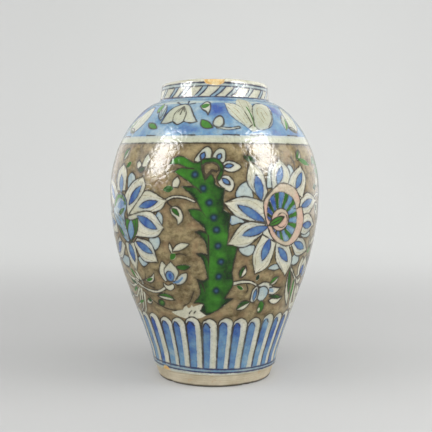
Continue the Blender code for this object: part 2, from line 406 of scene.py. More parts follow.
def leaf_sprigs(chart):
    """Twigs, buds and small leaves on either side of the tall leaf, and the bare patch at its foot."""
    chart.stroke([(-46, 179), (-38, 182), (-28, 181.5), (-18, 178)], "cream", 2.6, 2.2, line=LINE)
    chart.stroke([(-47, 180), (-43, 175), (-40, 173)], start=BOLD, end=LINE)
    chart.fill(cornered_outline([[(-34.5, 156), (-36, 162), (-41, 166.5), (-41.5, 171.5), (-36, 173.5),
                                  (-31, 170), (-29, 164), (-30.5, 159.5)]]), line=1.3)
    chart.lens((-41, 171.5), (-33, 164), 4.6, "green", bend=1.0, tone=0.6, line=HAIR)
    chart.fill(blade_outline((-40, 191), (-39, 197), (-34.5, 201), (-32, 196), (-34, 190.5)))
    chart.touch((-38, 190), (-49, 188.5), 6)
    chart.lens((-42.5, 128), (-44.5, 139), 3.6)
    chart.lens((-42, 131), (-24, 138.5), 6.5, bend=1.0)
    chart.stroke([(-40, 127.5), (-34, 129), (-28, 127.5)])
    chart.touch((-45, 123), (-39, 129), 5.5, 0.3)
    chart.lens((-40, 116), (-24, 117), 5.5, "green", bend=-1.0, tone=0.75, line=THIN)
    chart.loop([(-42, 98), (-34, 99), (-29, 104.5), (-28.5, 110), (-34, 109), (-39, 105)])
    chart.stroke([(-44, 100.5), (-39, 101), (-34, 105)], "blue", 3.0, 2.0, tone=0.6)
    chart.loop([(-54, 100), (-60, 108), (-59, 115), (-55, 120.5), (-50, 115), (-49, 107)])
    chart.fill(blade_outline((-52, 101), (-54, 112), (-45, 121), (-37.5, 111), (-43, 101)))
    chart.oval((-48, 106), 5.0, 5.2, "blue", 0.75, THIN)
    chart.oval((-47.5, 106), 1.6, 2.6, "blue", 1.0, 0.0)
    chart.loop([(-57.5, 99), (-56, 93.5), (-50, 91), (-44.5, 94.5), (-46, 98.5), (-52, 96.5)])
    chart.fill(cornered_outline([
        [(-54, 68), (-46, 70)], [(-38, 71.5), (-36, 74)], [(-33, 76.5)], [(-31, 73.5), (-28.5, 74.5)],
        [(-26.5, 77)], [(-24.5, 75), (-20, 77)], [(-12.5, 79), (-14, 76)], [(-17, 71)],
        [(-10, 66), (-20, 62.5), (-35, 62), (-47, 64.5)],
    ]), line=0.0)
    for path in [[(-30.5, 67.5), (-29, 69.5), (-27, 71)], [(-24.5, 68.5), (-22.5, 70.5)]]:
        chart.stroke(path, start=BOLD, end=0.8)
    chart.stroke([(-37, 75.5), (-29, 79.5), (-25, 86), (-23, 91)], start=THIN, end=1.3)
    chart.leaf((27, 105), (32, 117), 7.5)
    chart.leaf((26, 72), (42, 79), 9, bend=1.0)


def lotus_petals(chart, petals):
    """Cream petals with faint veins and a blue lens: outline of five points, lens ends and width."""
    for blade, lens_base, lens_tip, width in petals:
        chart.fill(blade_outline(*blade))
        base = (np.array(blade[0]) + np.array(blade[4])) / 2
        for side in (blade[1], blade[3]):
            bulge = base + 0.75 * (np.array(side) - base)
            chart.stroke([base, bulge, blade[2]], "brown", 0.3, 0.5)
        chart.lens(lens_base, lens_tip, width, "blue", tone=0.78, line=0.7)


def fanned_heart(chart):
    """Heart of the right lotus: pink ring, fan of blue and green wedges, and a seed pod."""
    def placed(*points):
        return np.array([73, 164]) + np.array(points, float)

    chart.loop(placed((-21, -9), (-26, 8), (-23, 18), (-7, 30), (11, 25.5), (20, 14), (19, 7), (24, 6),
                      (28, -7), (23, -22), (7, -30), (-12, -23)), "pink")
    fan = smooth_path(placed((-18, -6), (-22, 1), (-19, 17), (-6, 22), (9, 15), (15, 2), (15, -14),
                             (4, -25.5), (-11, -17)), closed=True)
    chart.fill(fan, "blue", 0.3)
    rows, columns, x, s = chart.window(fan)
    centre = placed((-9, -5))[0]
    away = np.hypot(x - centre[0], s - centre[1])
    wedge = TURN / 26
    phase = np.arctan2(s - centre[1], x - centre[0]) / wedge
    inside = outline_distance(x, s, fan)
    pale_side = 0.35 * np.clip((x - centre[0]) / 20, -0.5, 1.0)
    for colour, first, tone, half_width in (("blue", 0.0, 0.8, 0.5), ("green", 1.0, 0.75, 0.4)):
        offset = np.abs((phase - first + 1.0) % 2.0 - 1.0)
        distance = np.maximum(inside, (offset - half_width) * wedge * away)
        chart.put(rows, columns, distance, colour, tone - pale_side, 0.3)
    chart.oval(placed((-6.5, -4))[0], 10.7, 10.7, "pink")
    chart.oval(placed((-4.5, -4.5))[0], 6.8, 7.0, "pink", line=THIN)
    chart.lens(*placed((-20, -9), (-2, -1.5)), 7, "green", tone=0.1)
    chart.stroke(placed((-20, -9), (-3, -2)), start=THIN, end=0.6)
    chart.stroke(placed((11, 6), (15, 5.5), (19.5, 7)))


def right_lotus(chart):
    """Open lotus right of the leaf: pale rear petals, front petals and a fanned heart."""
    for rear in [[(20, 182), (22, 191), (30, 196), (35, 188), (35, 180)],
                 [(15, 166), (15.5, 156.5), (24, 158), (34, 157)],
                 [(24, 135), (27, 129), (34, 126.5), (39, 130), (39, 137)],
                 [(58, 113), (66, 117), (77, 114), (68, 110.5)],
                 [(88, 119), (96, 113), (105, 117), (98, 126)],
                 [(100, 143), (112, 140), (121, 143), (112, 149)],
                 [(50, 190), (53, 207), (58, 212), (62, 195)], [(74, 195), (77, 211), (84, 208), (84, 196)]]:
        chart.loop(rear, "blue", 0.02)
    chart.oval((74, 163), 30, 33, line=THIN)
    lotus_petals(chart, [
        [((51, 186), (46, 205), (34, 216), (30.5, 195), (46, 177)), (44.5, 178.5), (39.5, 202.5), 9],
        [((78, 188), (78, 206), (67, 217), (56, 206), (56, 188)), (62, 193), (69, 210), 8],
        [((97, 179), (104, 198), (97, 211), (82, 203), (74, 192)), (86, 188.5), (98, 204), 8],
        [((92, 168), (108, 163), (131, 176), (107, 184.5), (94, 178)), (95, 171), (118, 177), 7.5],
        [((98, 145), (110, 143.5), (129, 152), (112, 163.5), (99, 163)), (100, 153), (122, 152), 7.5],
        [((85, 135), (98, 122.5), (121, 126), (106, 139), (92, 142)), (89, 137), (111, 129), 7.5],
        [((63, 139), (67, 120), (85, 103), (91, 119), (80, 137)), (67, 133.5), (84, 118), 7.5],
        [((47, 147), (38.5, 127), (43, 108), (58, 116), (64, 138)), (56, 143), (49.5, 121), 9],
        [((50, 157), (27, 158), (12, 137.5), (30, 135.5), (47, 147)), (26, 146.5), (53, 154), 8.5],
        [((49, 177), (27, 182.5), (8, 177), (23, 163), (50, 157.5)), (21, 175), (49, 158.5), 8],
    ])
    fanned_heart(chart)


def hooked_heart(chart):
    """Heart of the left lotus, from the side: a hooked pod of blue and green over a tucked fan."""
    chart.fill(cornered_outline([
        [(-100, 160), (-90, 158.5), (-80, 161)], [(-80, 161), (-81.5, 151), (-87, 143), (-95, 136.5)],
        [(-95, 136.5), (-101, 147), (-100, 160)],
    ]), "green", 0.3)
    chart.lens((-95, 138.5), (-90.5, 159), 10.5, "blue", tone=0.45, line=THIN)
    chart.stroke([(-95, 138), (-86, 148), (-83.5, 160)], start=HAIR, end=0.8)
    chart.loop([(-129, 166), (-122, 177), (-111, 184), (-102, 183), (-96.5, 176.5), (-97.5, 169),
                (-101.5, 163), (-101, 152), (-97, 139), (-102, 136.5), (-112, 143), (-122, 153)],
               "blue", 0.3, 1.5)
    chart.stroke([(-125, 171), (-114, 180), (-104, 180), (-99.5, 174.5)], "green", 4.0, 3.4, 0.45, HAIR)
    chart.lens((-116, 170), (-100, 175.5), 6.5, "blue", tone=0.7, line=0.0)
    chart.lens((-114, 162), (-101, 169.5), 4.6, "green", tone=0.4, line=HAIR)
    for path in [[(-124, 163), (-112, 155), (-100, 140)], [(-118, 165), (-107, 160), (-102, 150)]]:
        chart.stroke(path, "cream", 1.0, 1.6, line=0.4)
    chart.lens((-119, 152), (-106, 141.5), 5.0, "green", tone=0.45, line=HAIR)


def left_lotus(chart):
    """Lotus left of the leaf, turned to the side, with a hooked heart."""
    for rear in [[(-95, 199), (-90, 204), (-84, 201), (-84, 194), (-93, 188)],
                 [(-68, 142), (-56, 144), (-55, 137), (-62, 131)],
                 [(-88, 122), (-76, 124), (-72, 119), (-82, 113)],
                 [(-55, 168), (-50, 164), (-51, 156), (-58, 160)],
                 [(-120, 196), (-117, 206), (-112, 204), (-112, 190)],
                 [(-148, 172), (-150, 164), (-140, 160), (-134, 168)],
                 [(-120, 122), (-128, 115), (-112, 110), (-106, 120)]]:
        chart.loop(rear, "blue", 0.02)
    lotus_petals(chart, [
        [((-98, 186), (-98, 204), (-107, 213), (-117, 204), (-116, 186)), (-106, 184), (-108, 202), 8.5],
        [((-88, 172), (-68, 187.5), (-45, 178.5), (-56, 168), (-96, 163)), (-78, 171.5), (-55, 177.5), 7],
        [((-99, 183), (-86, 195.5), (-72, 200.5), (-70.5, 187), (-95, 162)), (-93, 173), (-74, 192), 7.5],
        [((-96, 162), (-64, 168), (-49, 153), (-60, 143.5), (-88, 143)), (-81, 163), (-57, 151.5), 9],
        [((-91, 136), (-80, 119.5), (-60, 119), (-66, 138), (-84, 142)), (-87, 138), (-65, 127.5), 8],
        [((-107, 136), (-105, 120), (-96, 107), (-89, 120), (-90, 137)), (-99, 136), (-95, 117), 9],
        [((-120, 140), (-134, 132), (-146, 118), (-124, 118), (-108, 132)), (-116, 136), (-138, 122), 8],
        [((-124, 162), (-142, 164), (-160, 154), (-144, 144), (-122, 144)), (-126, 154), (-150, 154), 8],
        [((-112, 182), (-126, 194), (-146, 198), (-140, 180), (-124, 168)), (-120, 176), (-139, 192), 8],
    ])
    hooked_heart(chart)


def right_sprigs(chart):
    """Twigs below and above the right lotus."""
    chart.stroke([(20, 99.5), (30, 101), (40, 100), (48, 96)], "cream", 4.0, 2.0, line=LINE)
    chart.touch((24, 97), (32, 93), 3.6, 0.6)
    chart.touch((46, 101), (48, 108), 4.0, 0.8)
    chart.stroke([(35, 98), (37, 93), (36, 90)])
    chart.loop([(48, 96), (56, 99.5), (65, 97), (71, 90), (62, 91), (54, 94)])
    chart.fill(blade_outline((65, 93), (71, 93), (82, 91), (73, 85), (65, 86)))
    chart.lens((64, 92), (72, 88), 3.5, "blue", tone=0.2, line=0.0)
    chart.lens((67, 79), (90, 80.5), 8, bend=-1.5)
    chart.lens((66, 84), (88, 80.5), 4.5, "green", tone=0.55, line=THIN)
    chart.loop([(50, 93), (57, 95), (63, 91), (63, 84), (57, 79), (51, 82), (49, 88)], "blue", 0.15)
    chart.loop([(42, 85), (43, 92), (48, 96), (51, 90), (50, 82), (46, 78.5), (42, 80)], line=BOLD)
    chart.lens((46, 80), (47.5, 93), 4.5, "blue", tone=0.7, line=THIN)
    chart.leaf((64, 96), (75, 103.5), 7)
    chart.loop([(53, 71), (56, 79.5), (61.5, 76), (61, 69), (56, 66.5)], "green", 0.6)
    chart.oval((55.5, 70.5), 1.5, 2.0, line=0.0)
    chart.stroke([(90, 113), (105, 100), (122, 90), (138, 86)], "cream", 2.6, 1.8, line=LINE)
    chart.lens((91, 112), (107, 69), 9, bend=-3.0)
    chart.lens((91, 110), (102, 82), 5.5, "green", bend=-1.0, tone=0.4, line=THIN)
    chart.lens((108, 100), (126, 107), 6)
    for base, tip in [((109, 97), (121, 62)), ((117, 92), (136, 66)), ((122, 90), (142, 78))]:
        chart.lens(base, tip, 7, bend=-2.0, line=THIN)
    chart.touch((105, 100), (113, 74), 5, 0.3, bend=-1.0)
    chart.lens((28, 219.5), (41, 214.5), 6, "green", tone=0.8, line=THIN)
    chart.stroke([(33, 229), (33.5, 223), (31, 218)], start=1.8, end=LINE)
    chart.leaf((92, 216), (100, 226), 8, bend=-1.0)
    chart.touch((94, 217.5), (117, 211), 5.5, 0.4)
    chart.stroke([(84, 219), (87, 213), (87, 207)])


def left_sprigs(chart):
    """Twigs below and above the left lotus."""
    for blade in [[(-122, 68), (-109, 73), (-101, 88)], [(-127, 79), (-114, 79), (-103, 87)],
                  [(-128, 92), (-114, 90), (-101, 95)], [(-124, 105), (-112, 99), (-98, 98)],
                  [(-116, 62), (-104, 70), (-97, 88)], [(-118, 118), (-108, 108), (-96, 100)],
                  [(-104, 124), (-100, 112), (-90, 96)], [(-108, 60), (-99, 68), (-93, 84)]]:
        chart.stroke(blade, "cream", 1.2, 3.8, line=0.6)
    for base, tip in [((-118, 84), (-104, 90)), ((-116, 97), (-102, 93)), ((-110, 110), (-100, 100)),
                      ((-112, 72), (-98, 76))]:
        chart.touch(base, tip, 3.4, 0.3)
    chart.stroke([(-104, 97), (-92, 91.5), (-78, 88.5), (-66, 89), (-55, 94)], "cream", 2.2, 3.2, line=THIN)
    chart.stroke([(-100, 99), (-86, 95.5), (-72, 92)], start=0.6)
    for path in [[(-94, 87), (-84, 81), (-72, 75), (-58, 71), (-38, 70)],
                 [(-92, 98), (-84, 100), (-81, 106)]]:
        chart.stroke(path, start=THIN, end=1.5)
    chart.fill(cornered_outline([[(-84, 99.5), (-77, 97), (-70, 100)], [(-68, 108), (-73, 104)]]), line=1.3)
    chart.touch((-82, 99), (-71, 102), 3.4)
    chart.leaf((-70, 84), (-46, 81.5), 7, bend=1.5)
    chart.oval((-66, 77), 5.0, 3.6, "green", 0.75, THIN)
    chart.oval((-65.5, 77), 2.2, 1.3, "green", 0.1, HAIR)
    chart.lens((-92, 75), (-80, 78), 6, line=THIN)
    chart.oval((-85, 78), 3.4, 2.0, "green", 0.8, HAIR)
    chart.leaf((-110, 216), (-102, 228), 9, bend=1.0)
    chart.touch((-101, 209), (-93, 214), 5, 0.4)
    chart.stroke([(-73, 201), (-70, 193), (-71, 185)])
    chart.fill(blade_outline((-82, 208), (-84, 213), (-81, 216), (-77, 212), (-76, 206)))
    chart.lens((-81, 206), (-72, 208), 6, "green", tone=0.8, line=THIN)
    chart.loop([(-76, 210), (-74, 218), (-70, 222), (-67.5, 216), (-70, 210)], line=THIN)


# Bands above and below the belly
def drifted(height, tilt, dip=0.0):
    """Height of a hand-drawn ring round the pot, highest at its left and dipping at both sides."""
    return (height - tilt * np.sin(THETA) - dip * np.sin(THETA) ** 2)[None, :]


def ring_line(height, width, tilt, dip=0.0):
    """An ink line drawn all round the pot."""
    distance = np.abs(ROW_S[:, None] - drifted(height, tilt, dip)) - width / 2
    paint_grid["ink"][:] = np.minimum(paint_grid["ink"], distance)


def zone(colour, low, high, tone=0.5):
    """A ground colour laid all round between two heights, over what is there."""
    s = ROW_S[:, None]
    distance = np.maximum(low - s, s - high) + np.zeros((1, COLUMNS))
    lay_paint(np.s_[:], distance, colour, tone)


def tongue_band():
    """Upright tongues with blue stripes, and the double line they stand on."""
    chart = Chart(TONGUE_CHART, 1, 0.0, BELLY_TOP)
    pitch = TURN * TONGUE_CHART / TONGUES
    for k in range(TONGUES):
        left = (k - TONGUES // 2) * pitch + 2.6 + 0.7 * math.sin(1.7 * k)
        right = left + pitch
        top = TONGUE_TOP + 0.9 * math.sin(2.4 * k) + 0.6 * math.sin(5.1 * k)
        arch = [(left - 1.5, 2), (left - 0.5, 30), (left + 0.2, top - 7), (left + 4, top - 0.8),
                (left + 8.5, top), (right - 1, top - 5), (right, top - 18), (right, 30), (right - 1, 2)]
        chart.fill(smooth_path(arch))
        wide = 7.6 + 0.8 * math.sin(3.3 * k)
        crest = (left + wide * 0.5, top - 4.6)
        stripe = smooth_path([(left - 0.6, 3), (left, 30), (left + 0.8, top - 10), crest,
                              (left + wide + 0.3, top - 9), (left + wide, 30), (left + wide - 1.6, 3)])
        rows, columns, x, s = chart.window(stripe)
        pooling = 0.16 * np.clip((s - 30) / 30, -1, 1) - 0.012 * (x - left - 3)
        tone = 0.68 + 0.1 * math.sin(1.9 * k) + pooling
        chart.put(rows, columns, outline_distance(x, s, stripe), "blue", tone, 0.0)
        chart.stroke([(left - 1.0, 4), (left - 0.3, 30), (left + 0.5, top - 9)], end=BOLD)
        chart.stroke([(left + 0.8, top - 9), crest, (left + wide + 0.3, top - 9.5)], end=0.7)
    lower, upper = 2.8, 6.0
    zone("cream", -1.0, upper)
    zone("blue", lower, upper, 0.3)
    ring_line(upper + 0.4, 1.7, 1.8)
    ring_line(lower, 1.7, 1.4)


def shoulder_washes(chart):
    """Deeper and thinner places in the blue of the shoulder."""
    for centre, half_width, half_height, amount in [
            ((2, 271), 7, 10, 0.55), ((-18, 247), 14, 5, 0.4), ((71, 271), 7, 9, 0.65),
            ((40, 244), 16, 4, 0.2), ((-51, 262), 7, 12, 0.4), ((-38, 290), 14, 6, -0.2),
            ((45, 288), 14, 5, -0.2), ((8, 291), 12, 4, 0.25)]:
        chart.shade(centre, half_width, half_height, amount)


def bell_flower(chart):
    """Hanging bell on the shoulder, with the comma leaves at its right."""
    chart.fill(cornered_outline([
        [(-51, 254.5), (-49, 268), (-44, 276), (-34, 280), (-26, 275.5), (-20, 264)],
        [(-15.5, 255.5), (-21, 254)], [(-28, 256), (-33, 252.5)], [(-38.5, 256), (-44, 254)],
    ]), line=1.4)
    for path in [[(-34, 276), (-40, 267), (-39, 257)], [(-33, 276), (-28, 267), (-28, 257)]]:
        chart.stroke(path, end=0.6)
    for tip in [(-37.5, 268), (-33.5, 265), (-30, 268)]:
        chart.stroke([(-33.5, 275.5), tip], start=2.0, end=0.8)
    for path in [[(-46, 284), (-38, 279)], [(-31, 285), (-30, 279)], [(-22, 281), (-28, 279.5)]]:
        chart.stroke(path, start=2.2, end=1.3)
    chart.fill(cornered_outline([[(-15, 276), (-10, 283), (-5, 281), (-4, 272)],
                                 [(-6, 263.5), (-8, 268), (-12, 271)]]), line=1.5)
    chart.loop([(-14, 277), (-9, 280), (-5, 278), (-8, 273.5), (-12, 273)], "green", 0.25, 0.0)
    chart.lens((-11.5, 258), (-1.5, 248.5), 8, "green", bend=-1.5, tone=0.3)
    chart.stroke([(3, 249), (12, 247.5), (21, 249)], "cream", 2.6, 2.0, line=THIN)
    chart.loop([(-1, 252), (0.5, 259), (5, 262.5), (8, 259.5), (8, 252.5), (4, 249)], line=1.5)


def open_tulip(chart):
    """Open tulip of three veined petals."""
    chart.loop([(24, 277), (30, 290), (36, 292), (42, 287), (44, 276), (42, 262), (38, 247), (30, 247)],
               line=0.0)
    chart.fill(blade_outline((34, 252), (27, 277), (11.5, 282), (15, 264), (29, 248)), line=HAIR)
    chart.loop([(37, 248), (37.5, 262), (41, 273), (48, 280), (58, 282), (66, 276), (61, 263), (54, 252),
                (45, 247)], line=HAIR)
    for vein in [[(15, 280), (23, 270), (29, 254)], [(14, 275), (19, 266), (27, 252)],
                 [(20, 279), (27, 270), (31, 257)], [(30, 289), (30, 276), (33, 258)],
                 [(40, 287), (38, 276), (36, 262)], [(46, 255), (44, 266), (48, 274), (54, 273), (55, 264)],
                 [(49, 257), (49, 268)]]:
        chart.stroke(vein, "brown", 0.6, 0.5)
    chart.stroke([(35, 275), (36, 264), (35.5, 250)], "green", BOLD, 1.0)
    chart.stroke([(40.5, 272), (44, 277.5), (50, 281), (58, 281.5)], end=0.8)
    chart.stroke([(65, 277), (62, 268), (57, 258), (50, 250)], start=0.8, end=0.8)


def shoulder_leaves(chart):
    """Leaves left of the bell, and the veined leaf that closes the group at the right."""
    chart.lens((-53, 248.5), (-67, 255), 6, "green", tone=0.3)
    chart.lens((-53, 258), (-61, 281), 8.5, "blue", tone=0.15, line=THIN)
    for path in [[(-53.5, 259), (-56.5, 277)], [(-54, 260), (-60, 272)]]:
        chart.stroke(path, start=0.6, end=THIN)
    chart.lens((-63, 268), (-67, 283), 7, "green", tone=-0.1, line=THIN)
    chart.loop([(78, 248), (88, 246), (97, 255), (99, 268), (92, 278), (84, 271), (79, 260)], line=THIN)
    for vein in [[(83, 250), (85, 260), (90, 273)], [(87, 249), (92, 258), (94, 268)]]:
        chart.stroke(vein, "brown", 0.5, 0.6)
    chart.lens((70, 247), (79, 266), 8.5, line=THIN)
    chart.touch((70, 247), (78, 261), 3.4, 0.0, bend=-1.2)
    chart.leaf((88, 245), (75, 250), 5)


def shoulder_band():
    """Blue shoulder with a paler stripe near its top, three flower groups and broken dashes below."""
    zone("blue", SHOULDER_BOTTOM, NECK_LINE, 0.44)
    stripe_bottom, stripe_top = 281.5, 285.0
    zone("blue", stripe_bottom, stripe_top, 0.12)
    chart = Chart(SHOULDER_CHART, 3, BELLY_TOP, NECK_LINE)
    shoulder_washes(chart)
    bell_flower(chart)
    open_tulip(chart)
    shoulder_leaves(chart)
    for start, end in [(-62, -52), (-28, -16), (7, 20), (30, 42), (68, 84)]:
        chart.stroke([(start, 241.2), (end, 240.8)], start=THIN, end=1.5)
    ring_line(BELLY_TOP, 1.4, 0.8)


def neck_band():
    """Slanted strokes between ring lines."""
    chart = Chart(NECK_CHART, 1, NECK_LINE)
    low, high, tilt, dip = 305.4, 308.4, 0.8, 0.9
    pitch = TURN * NECK_CHART / NECK_STROKES
    for k in range(NECK_STROKES):
        top = -8.5 + k * pitch + 1.2 * math.sin(2.1 * k)
        reach = 10.5 + 1.5 * math.sin(1.3 * k)
        path = [(top, low), (top - reach * 0.42, low - 5), (top - reach, low - 10)]
        chart.stroke(path, "blue", 4.2, 2.8, tone=0.08 + 0.2 * math.sin(1.7 * k), line=LINE)
    zone("blue", drifted(low, tilt, dip), drifted(high, tilt, dip), 0.0)
    ring_line(NECK_LINE, 1.5, 0.6)
    ring_line(high + 0.1, 1.4, tilt, dip)
    ring_line(low - 0.1, 1.0, tilt, dip)


def paint_pot():
    """The whole painting, from the ground up, with the worn spots at the lip and the glaze edge."""
    hidden_by_tongues = 40.0
    zone("brown", hidden_by_tongues, BELLY_TOP)
    halves = Chart(BELLY_CHART, 2)
    quarters = Chart(BELLY_CHART, 4)
    # Painted light: the brown is made paler near the pot's sides, standing in for the sheen of light there
    for centre, half_width, half_height in [((116, 84), 24, 34), ((124, 150), 14, 40), ((-116, 92), 22, 34)]:
        halves.shade(centre, half_width, half_height, -0.4)
    left_sprigs(halves)
    right_sprigs(halves)
    leaf_sprigs(quarters)
    left_lotus(halves)
    right_lotus(halves)
    leaf_flower(quarters)
    tall_leaf(quarters)
    tongue_band()
    shoulder_band()
    neck_band()
    lip_wear = [(-10.5, 319), (-10.5, 311.5), (-8.5, 308), (-5, 306.8), (0, 306), (5, 306.5), (8, 308),
                (10, 311.5), (10, 319)]
    Chart(NECK_CHART, 1, NECK_LINE).loop(lip_wear, "bare", line=0.0)
    edge_wear = [(-71, -2), (-69, 2.5), (-64, 4.5), (-59, 2.5), (-56, -2)]
    Chart(TONGUE_CHART, 1).loop(edge_wear, "bare", line=0.0)


paint_pot()


# Surfaces
def ripple():
    """Slight unevenness of the thrown and glazed surface, in millimetres."""
    s = ROW_S[:, None]
    t = THETA[None, :]
    throwing = 0.14 * np.sin(s / 4.1 + 0.6 * np.sin(t)) * np.sin(s / 23.0 + 1.0)
    swell = 0.22 * np.sin(2 * t + s / 40.0) + 0.12 * np.sin(5 * t - s / 27.0 + 0.7)
    pools = 0.05 * np.sin(17 * t + s / 3.3) * np.sin(9 * t - s / 5.2)
    return throwing + swell + pools - GLAZE * (paint_grid["bare"] < 0)


def surface_grid():
    """Points and normals of the whole outer surface; the front, at theta 0, faces -Y."""
    profile_tangent = np.stack([np.gradient(ROW_RADIUS, ROW_S), np.gradient(ROW_HEIGHT, ROW_S)], axis=1)
    tangent = profile_tangent / np.hypot(*profile_tangent.T)[:, None]
    out_radius, out_height = tangent[:, 1], -tangent[:, 0]
    lift = ripple()
    radius = ROW_RADIUS[:, None] + lift * out_radius[:, None]
    lip_top = ROW_S[np.argmax(ROW_HEIGHT)]
    lip_share = np.interp(ROW_S, [NECK_LINE, lip_top, ROW_S[-1]], [0.0, 1.0, 0.0])
    lip_rise = LIP_RISE * lip_share[:, None] * np.maximum(np.cos(THETA), 0.0) ** 2
    height = ROW_HEIGHT[:, None] + lift * out_height[:, None] + lip_rise
    points = np.stack([radius * np.sin(THETA), -radius * np.cos(THETA), height], axis=-1)
    around = np.roll(points, -1, axis=1) - np.roll(points, 1, axis=1)
    up = np.gradient(points, axis=0)
    normals = np.cross(around, up)
    return points, normals / np.linalg.norm(normals, axis=-1, keepdims=True)


def grid_corners(grid):
    """The four corners of each cell of a grid, in order round the cell."""
    return np.stack([grid[:-1, :-1], grid[:-1, 1:], grid[1:, 1:], grid[1:, :-1]], axis=2)


def grid_mesh(name, points, normals=None, closed=False):
    """A quad mesh over a grid of points, with a texture layout that unrolls it flat."""
    rows, columns = points.shape[:2]
    corner = np.arange(rows * columns).reshape(rows, columns)
    if closed:
        corner = np.concatenate([corner, corner[:, :1]], axis=1)
    mesh = bpy.data.meshes.new(name)
    mesh.from_pydata((points.reshape(-1, 3) * MM).tolist(), [], grid_corners(corner).reshape(-1, 4).tolist())
    mesh.shade_smooth()
    if normals is not None:
        mesh.normals_split_custom_set_from_vertices(normals.reshape(-1, 3).tolist())
    flat = np.stack(np.meshgrid(np.linspace(0, 1, corner.shape[1]), np.linspace(0, 1, rows)), axis=-1)
    layout = mesh.uv_layers.new(name="OFBake")
    layout.data.foreach_set("uv", grid_corners(flat).ravel())
    return mesh


def add_piece(name, mesh, material, slot, *nodes):
    """Show a mesh in place of some of the frame's solids."""
    mesh.materials.append(material)
    piece = bpy.data.objects.new(name, mesh)
    bpy.context.scene.collection.objects.link(piece)
    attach(piece, "root")
    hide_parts(*nodes)


def painted_pieces(material):
    """The glazed surface in sectors of four bands."""
    points, normals = surface_grid()
    bands = [("tongues", 0.0, TONGUE_SEAM, 2), ("belly", TONGUE_SEAM, BELLY_SEAM, 4),
             ("shoulder", BELLY_SEAM, SHOULDER_SEAM, 2), ("neck", SHOULDER_SEAM, PROFILE_S[-1], 2)]
    sides = {2: ("front", "back"), 4: ("front", "right", "back", "left")}
    for band, low, high, sectors in bands:
        first, last = np.searchsorted(ROW_S, [low, high])
        rows = np.arange(first, min(last + 1, len(ROW_S)))
        width = COLUMNS // sectors
        for sector, side in enumerate(sides[sectors]):
            columns = (np.arange(width + 1) + sector * width - width // 2) % COLUMNS
            spot = np.ix_(rows, columns)
            name = f"glaze_{band}_{side}"
            mesh = grid_mesh(name, points[spot], normals[spot])
            for paint, values in paint_grid.items():
                layer = mesh.attributes.new(paint, "FLOAT", "POINT")
                layer.data.foreach_set("value", values[spot].astype(np.float32).ravel())
            add_piece(name, mesh, material, "painted_glaze", "outer_glaze")


def lathe_points(profile, segments):
    """A profile turned about the pot's axis, as a grid of points."""
    angle = np.arange(segments) / segments * TURN
    radius, height = profile[:, 0][:, None], profile[:, 1][:, None]
    return np.stack([radius * np.sin(angle), -radius * np.cos(angle), height + 0 * angle], axis=-1)


def inward(curve):
    """The inner face of the wall along a curve of its outer face."""
    slope = np.gradient(curve, axis=0)
    slope /= np.hypot(*slope.T)[:, None]
    return curve - WALL_THROUGH * np.stack([slope[:, 1], -slope[:, 0]], axis=1)


def lining_profile():
    """The hollow's glazed face, from the middle of the floor up to the lip."""
    wall = inward(base_curve(80))
    wall = wall[wall[:, 1] > FLOOR_TOP + FLOOR_CORNER]
    corner = (wall[0, 0] - 6.0, FLOOR_TOP)
    bend = cubic_curve((corner[0] - FLOOR_CORNER, FLOOR_TOP), corner, corner, wall[0], 16)
    floor = np.linspace((0.5, FLOOR_TOP), bend[0], 8)
    shoulder = inward(shoulder_curve(80))
    mouth = LIP_OUTSIDE - 2 * LIP_ROUND
    throat_start = shoulder[-1]
    throat_end = (mouth, NECK_BASE - 1)
    throat = cubic_curve(throat_start, (mouth + 3, throat_start[1]), (mouth, throat_start[1] + 2),
                         throat_end, 12)
    neck = np.linspace(throat_end, (mouth, HEIGHT - LIP_ROUND), 8)
    return np.concatenate([floor, bend[1:], wall[1:], shoulder[1:], throat[1:], neck[1:]])


def foot_profile():
    """The bare turned foot, from under the glaze edge down, across the sole and up its inside."""
    toe_radius = FOOT_INSIDE + 1.5
    heel_middle = FOOT_RADIUS - FOOT_EDGE
    toe_middle = toe_radius + FOOT_EDGE
    outer_top = FOOT_HEIGHT + 0.2
    inner_top = FOOT_HEIGHT + 0.6
    side = np.linspace((FOOT_OUTSIDE, outer_top), (FOOT_RADIUS, FOOT_EDGE), 24)
    heel = arc((heel_middle, FOOT_EDGE), FOOT_EDGE, 0.0, -math.pi / 2, 6)
    sole = np.linspace((heel_middle, 0.0), (toe_middle, 0.0), 10)
    toe = arc((toe_middle, FOOT_EDGE), FOOT_EDGE, -math.pi / 2, -math.pi, 6)
    inside = np.linspace((toe_radius, FOOT_EDGE), (FOOT_INSIDE, inner_top), 10)
    return np.concatenate([side, heel[1:], sole[1:], toe[1:], inside[1:]])


def foot_mesh():
    """Foot ring with turning marks and chipped edges; a chip has its place, width and depth."""
    points = lathe_points(foot_profile(), FOOT_SEGMENTS)
    angle = np.arange(FOOT_SEGMENTS) / FOOT_SEGMENTS * TURN
    height = points[..., 2]
    grooves = 0.12 * np.sin(height * 2.6 + 0.5 * np.sin(3 * angle)) * (height > FOOT_EDGE)
    chips = np.zeros(FOOT_SEGMENTS)
    for where, width, depth in [(0.55, 0.05, 1.5), (0.70, 0.03, 1.1), (-0.85, 0.06, 1.3), (1.9, 0.05, 1.4),
                                (3.4, 0.07, 1.2)]:
        offset = (angle - where + math.pi) % TURN - math.pi
        chips += depth * np.exp(-((offset / width) ** 2))
    radius = np.hypot(points[..., 0], points[..., 1])
    edge = np.exp(-((height - 1.0) / 1.6) ** 2) * (radius > FOOT_RADIUS - 3)
    points[..., :2] *= (1.0 + (grooves - chips * edge) / radius)[..., None]
    return grid_mesh("foot_clay", points[::-1], closed=True)


# Colours
def srgb(red, green, blue):
    """A colour as the eye reads it, 0 to 255, as the shader's linear values."""
    def linear(v):
        v = v / 255
        return v / 12.92 if v <= 0.04045 else ((v + 0.055) / 1.055) ** 2.4
    return (linear(red), linear(green), linear(blue), 1.0)


